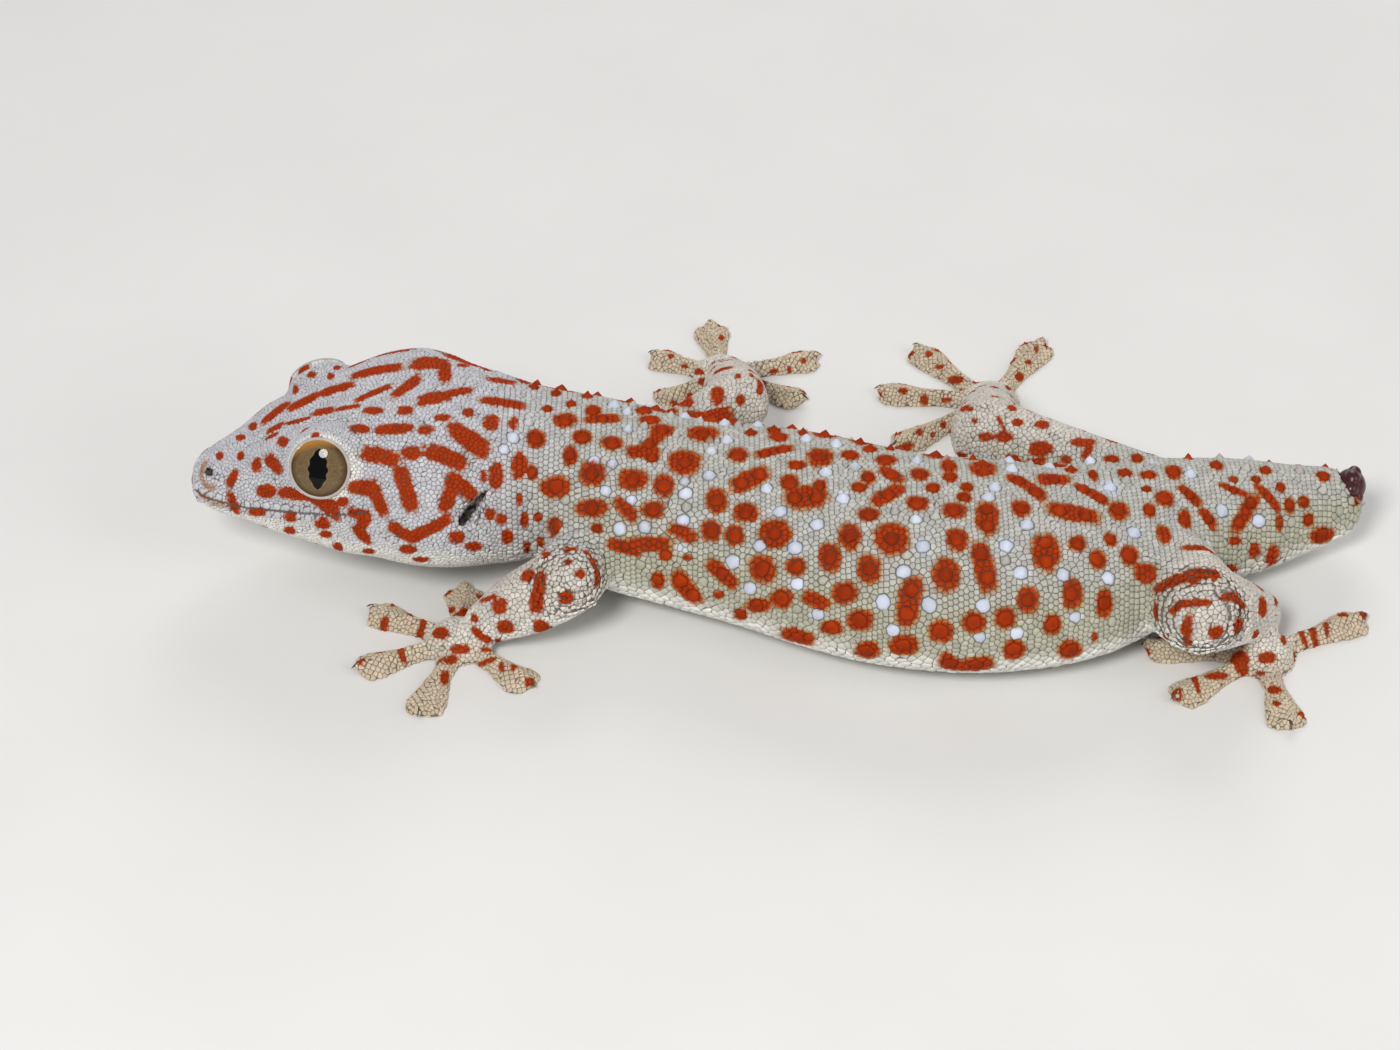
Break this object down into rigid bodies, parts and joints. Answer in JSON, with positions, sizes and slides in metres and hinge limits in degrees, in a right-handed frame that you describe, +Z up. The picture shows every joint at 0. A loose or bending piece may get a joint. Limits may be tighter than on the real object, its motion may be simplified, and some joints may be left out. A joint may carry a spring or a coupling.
{
  "type": "tokay gecko",
  "caption": "Life-size still model of a tokay gecko resting on its belly and toe pads, with a dropped tail's short stump.",
  "frame": {"origin": "middle of the footprint's box, on the surface that the animal rests on", "axes": "+X from the snout towards the tail, +Y to the animal's right, +Z up"},
  "size_m": [0.1872, 0.1082, 0.0331],
  "materials": {
    "head_skin": "fine granular scales, satin",
    "body_skin": "small juxtaposed scales with tubercles, satin",
    "limb_skin": "small scales, satin",
    "toe_skin": "soft pads with cross lamellae, matte",
    "eye": "wet, glossy cornea",
    "tail_break": "dried wound, slightly glossy"
  },
  "bodies": {
    "root": {"head": "head_skin", "lower_jaw": "head_skin", "neck": "body_skin", "torso": "body_skin", "hips": "body_skin", "tail_stump": "body_skin", "tail_break": "tail_break", "eye_left": "eye", "eye_right": "eye", "upper_arm_front_left": "limb_skin", "forearm_front_left": "limb_skin", "hand_front_left": "limb_skin", "toe_front_left_1": "toe_skin", "toe_front_left_2": "toe_skin", "toe_front_left_3": "toe_skin", "toe_front_left_4": "toe_skin", "toe_front_left_5": "toe_skin", "upper_arm_front_right": "limb_skin", "forearm_front_right": "limb_skin", "hand_front_right": "limb_skin", "toe_front_right_1": "toe_skin", "toe_front_right_2": "toe_skin", "toe_front_right_3": "toe_skin", "toe_front_right_4": "toe_skin", "toe_front_right_5": "toe_skin", "thigh_hind_left": "limb_skin", "shank_hind_left": "limb_skin", "foot_hind_left": "limb_skin", "toe_hind_left_1": "toe_skin", "toe_hind_left_2": "toe_skin", "toe_hind_left_3": "toe_skin", "toe_hind_left_4": "toe_skin", "toe_hind_left_5": "toe_skin", "thigh_hind_right": "limb_skin", "shank_hind_right": "limb_skin", "foot_hind_right": "limb_skin", "toe_hind_right_1": "toe_skin", "toe_hind_right_2": "toe_skin", "toe_hind_right_3": "toe_skin", "toe_hind_right_4": "toe_skin", "toe_hind_right_5": "toe_skin"}
  },
  "joints": []
}
